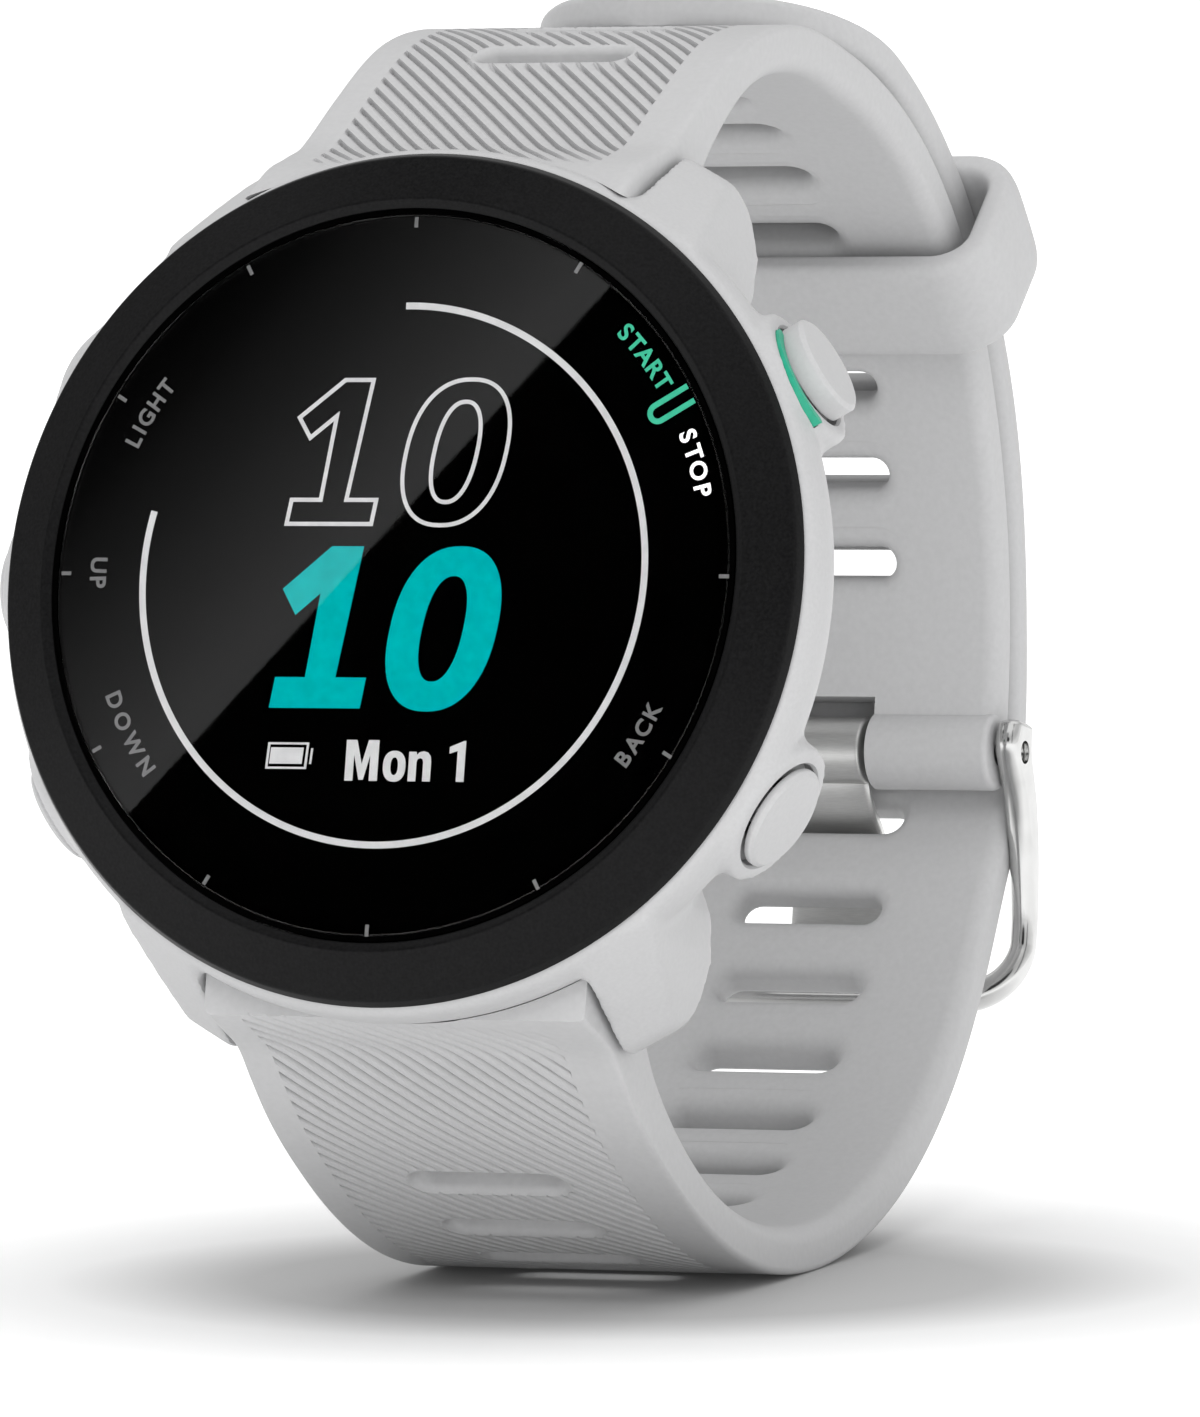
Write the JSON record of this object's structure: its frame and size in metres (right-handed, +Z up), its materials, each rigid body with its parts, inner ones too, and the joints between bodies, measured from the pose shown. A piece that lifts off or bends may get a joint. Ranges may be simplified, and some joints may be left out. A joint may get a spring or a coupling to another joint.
{
  "type": "gps running watch",
  "caption": "Round GPS running watch with a black bezel, side push buttons and a slotted silicone strap closed in a loop by a steel buckle and a keeper.",
  "frame": {"origin": "centre of the bounding box at the surface that the closed strap loop stands on", "axes": "+X towards 3 o'clock across the dial, +Y from the dial to the buckle, +Z up"},
  "size_m": [0.0436, 0.0658, 0.0637],
  "materials": {
    "silicone": "light grey matte silicone, ribbed outside",
    "case_polymer": "light grey fibre-filled polymer, matte",
    "bezel_black": "black, fine grained",
    "glass": "polished dark cover glass",
    "steel": "polished stainless steel",
    "brushed": "brushed stainless steel",
    "green": "green moulded accent",
    "board": "green solder mask",
    "cell": "foil pouch",
    "gold": "gold-plated contact",
    "dark_polymer": "black display glass and frame",
    "rubber": "black seal rubber"
  },
  "bodies": {
    "watch": {"case": "case_polymer", "bezel": "bezel_black", "lens": "glass", "lens_seal": "rubber", "display_panel": "dark_polymer", "backlight": "case_polymer", "display_carrier": "dark_polymer", "main_board": "board", "shield_can": "steel", "battery": "cell", "vibration_motor": "steel", "gps_antenna": "gold", "back_cover": "case_polymer", "back_screw_1": "steel", "back_screw_2": "steel", "back_screw_3": "steel", "back_screw_4": "steel", "charge_contact_1": "gold", "charge_contact_2": "gold", "charge_contact_3": "gold", "charge_contact_4": "gold", "cover_gasket": "rubber", "sensor_board": "board", "sensor_window": "glass", "accent_strip": "green", "spring_bar_upper": "steel", "spring_bar_lower": "steel", "strap_upper": "silicone", "strap_lower": "silicone", "seal_start": "rubber", "seal_back": "rubber", "seal_up": "rubber", "seal_light": "rubber", "seal_down": "rubber", "switch_start": "steel", "switch_back": "steel", "switch_up": "steel", "switch_light": "steel", "switch_down": "steel"},
    "button_start": {"button_start": "case_polymer"},
    "button_back": {"button_back": "case_polymer"},
    "button_up": {"button_up": "case_polymer"},
    "button_light": {"button_light": "case_polymer"},
    "button_down": {"button_down": "case_polymer"},
    "release_lever_upper": {"release_lever_upper": "steel"},
    "release_lever_lower": {"release_lever_lower": "steel"},
    "buckle_frame": {"buckle_frame": "steel", "buckle_pin": "steel"},
    "buckle_tongue": {"buckle_tongue": "brushed"},
    "keeper": {"keeper": "silicone"}
  },
  "joints": [
    {"name": "press_start", "type": "slide", "parent": "watch", "child": "button_start", "axis": [-0.8805, -0.1147, -0.46], "range_m": [0, 0.0005], "stiffness_N_per_m": 800},
    {"name": "press_back", "type": "slide", "parent": "watch", "child": "button_back", "axis": [-0.8678, 0.1202, 0.4822], "range_m": [0, 0.0005], "stiffness_N_per_m": 800},
    {"name": "press_up", "type": "slide", "parent": "watch", "child": "button_up", "axis": [1, 0, 0], "range_m": [0, 0.0005], "stiffness_N_per_m": 800},
    {"name": "press_light", "type": "slide", "parent": "watch", "child": "button_light", "axis": [0.866, -0.121, -0.4851], "range_m": [0, 0.0005], "stiffness_N_per_m": 800},
    {"name": "press_down", "type": "slide", "parent": "watch", "child": "button_down", "axis": [0.866, 0.121, 0.4851], "range_m": [0, 0.0005], "stiffness_N_per_m": 800},
    {"name": "release_upper", "type": "slide", "parent": "watch", "child": "release_lever_upper", "axis": [1, 0, 0], "range_m": [0, 0.001], "stiffness_N_per_m": 500},
    {"name": "release_lower", "type": "slide", "parent": "watch", "child": "release_lever_lower", "axis": [-1, 0, 0], "range_m": [0, 0.001], "stiffness_N_per_m": 500},
    {"name": "buckle_swing", "type": "hinge", "parent": "watch", "child": "buckle_frame", "pos_m": [0.0004, 0.027, 0.02348], "axis": [1, 0, 0], "range_deg": [-2, 8]},
    {"name": "tongue_swing", "type": "hinge", "parent": "watch", "child": "buckle_tongue", "pos_m": [0.0004, 0.027, 0.02348], "axis": [1, 0, 0], "range_deg": [-2, 8]},
    {"name": "keeper_slide", "type": "hinge", "parent": "watch", "child": "keeper", "pos_m": [0.0004, -0.00005, 0.03033], "axis": [1, 0, 0], "range_deg": [-1, 10]}
  ],
  "couplings": [
    {"joint": "tongue_swing", "follows": "buckle_swing", "ratio": 1}
  ]
}
